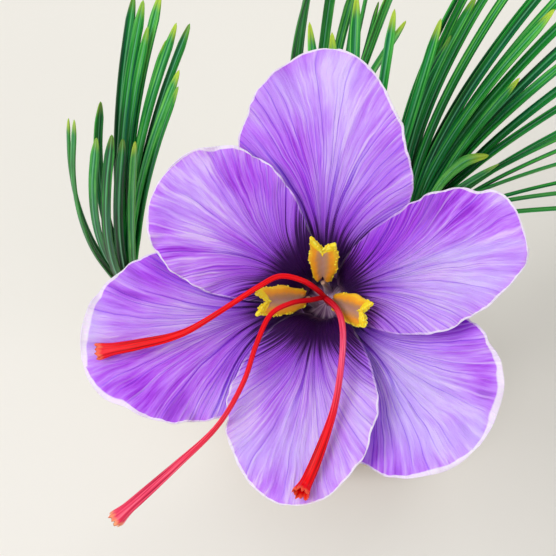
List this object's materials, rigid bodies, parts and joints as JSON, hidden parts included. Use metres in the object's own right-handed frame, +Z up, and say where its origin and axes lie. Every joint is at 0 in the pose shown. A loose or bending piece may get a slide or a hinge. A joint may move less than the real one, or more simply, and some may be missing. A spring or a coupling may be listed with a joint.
{
  "type": "saffron crocus plant with corm",
  "caption": "Saffron crocus in flower, lifted with its corm: open lilac bloom with scarlet stigmas and golden anthers, grassy leaf tufts and a fibrous corm that stands on its root plate.",
  "frame": {"origin": "centre of the flat underside of the root plate, under the corm", "axes": "+Z up, -Y towards the viewer that the flower faces, +X to that viewer's right"},
  "size_m": [0.1005, 0.1007, 0.1234],
  "materials": {
    "corm_tunic": "matt, fibrous",
    "root": "matt",
    "sheath_skin": "satin, papery",
    "leaf_blade": "satin",
    "bract_skin": "satin, papery",
    "tube_wall": "satin",
    "tepal_outer": "soft satin",
    "tepal_inner": "soft satin",
    "filament_skin": "satin",
    "pollen_sac": "matt, powdery",
    "stigma_skin": "satin"
  },
  "bodies": {
    "root": {"corm": "corm_tunic", "roots": "root", "sheath_middle": "sheath_skin", "sheath_left": "sheath_skin", "sheath_right": "sheath_skin", "sheath_rear": "sheath_skin", "leaves_middle": "leaf_blade", "leaves_left": "leaf_blade", "leaves_right": "leaf_blade", "leaves_rear": "leaf_blade", "spathe": "bract_skin", "perianth_tube": "tube_wall", "outer_tepal_top": "tepal_outer", "outer_tepal_left": "tepal_outer", "outer_tepal_right": "tepal_outer", "inner_tepal_left": "tepal_inner", "inner_tepal_right": "tepal_inner", "inner_tepal_low": "tepal_inner", "filament_top": "filament_skin", "filament_left": "filament_skin", "filament_right": "filament_skin", "anther_top": "pollen_sac", "anther_left": "pollen_sac", "anther_right": "pollen_sac", "pistil": "stigma_skin"}
  },
  "joints": []
}
